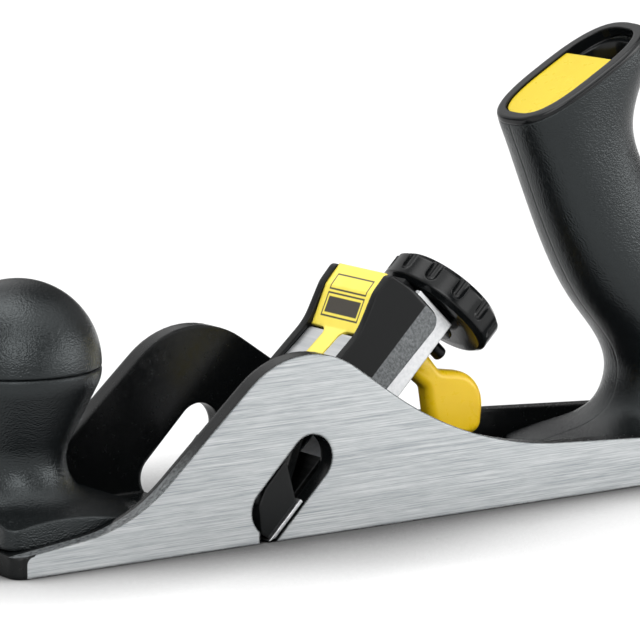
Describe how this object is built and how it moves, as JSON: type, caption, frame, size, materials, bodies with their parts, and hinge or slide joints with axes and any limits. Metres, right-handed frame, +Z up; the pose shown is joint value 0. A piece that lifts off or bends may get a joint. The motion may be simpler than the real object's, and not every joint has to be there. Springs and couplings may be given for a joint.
{
  "type": "hand plane",
  "caption": "Rebate hand plane with a full-width replaceable blade, depth wheel, screw clamp, round front knob and rear handle with a blade store.",
  "frame": {"origin": "centre of the sole's lower face", "axes": "+X towards the heel along the sole, +Y across it, +Z up through the handle"},
  "size_m": [0.2525, 0.05, 0.1061],
  "materials": {
    "cast_iron": "ground sides and sole, black painted inside",
    "machined_metal": "machined",
    "steel": "zinc plated",
    "black_steel": "blackened",
    "blade_steel": "ground",
    "black_paint": "semi-gloss enamel",
    "black_plastic": "fine grained",
    "gloss_black": "glossy",
    "wheel_plastic": "satin",
    "silver_plate": "satin",
    "yellow_plate": "satin",
    "yellow_plastic": "satin"
  },
  "bodies": {
    "body": {"plane_body": "cast_iron", "knob_base": "black_plastic", "knob_cap": "black_plastic", "knob_screw": "steel", "knob_nut": "steel", "frog": "machined_metal", "frog_screws": "steel", "spindle_lock_screw": "black_steel", "cap_pivot_pin": "steel", "handle_left": "black_plastic", "handle_right": "black_plastic", "handle_bezel": "gloss_black", "handle_base_screws": "steel", "handle_base_nuts": "steel", "handle_side_screws": "black_steel"},
    "carrier": {"blade_carrier": "black_steel", "blade": "blade_steel", "blade_pins": "steel"},
    "wheel": {"depth_wheel": "wheel_plastic", "depth_spindle": "steel"},
    "cap": {"clamp_cap": "black_paint", "badge": "yellow_plate", "face_plate": "silver_plate"},
    "pad": {"clamp_pad": "steel"},
    "key": {"clamp_key": "yellow_plastic", "clamp_screw": "steel"},
    "cassette": {"storage_cassette": "yellow_plastic", "spare_blades": "blade_steel"}
  },
  "joints": [
    {"name": "depth_slide", "type": "slide", "parent": "body", "child": "carrier", "axis": [-0.7071, 0, -0.7071], "range_m": [-0.0015, 0.001]},
    {"name": "depth_wheel_turn", "type": "hinge", "parent": "carrier", "child": "wheel", "pos_m": [0.0001, 0, 0.03889], "axis": [0.7071, 0, 0.7071], "range_deg": [-541, 361]},
    {"name": "clamp_pad_slide", "type": "slide", "parent": "body", "child": "pad", "axis": [0.7071, 0, -0.7071], "range_m": [0, 0.00075]},
    {"name": "clamp_key_turn", "type": "hinge", "parent": "pad", "child": "key", "pos_m": [-0.00152, 0, 0.03019], "axis": [0.7071, 0, -0.7071], "range_deg": [0, 270.5]},
    {"name": "cap_tilt", "type": "hinge", "parent": "body", "child": "cap", "pos_m": [-0.02889, 0, 0.0198], "axis": [0, 1, 0], "range_deg": [0, 1.46]},
    {"name": "cassette_slide", "type": "slide", "parent": "body", "child": "cassette", "axis": [-0.4939, 0, 0.8695], "range_m": [0, 0.05]}
  ],
  "couplings": [
    {"joint": "depth_wheel_turn", "follows": "depth_slide", "rad_per_m": 6283.2},
    {"joint": "clamp_key_turn", "follows": "clamp_pad_slide", "rad_per_m": 6283.2},
    {"joint": "cap_tilt", "follows": "clamp_pad_slide", "rad_per_m": 33.74}
  ]
}
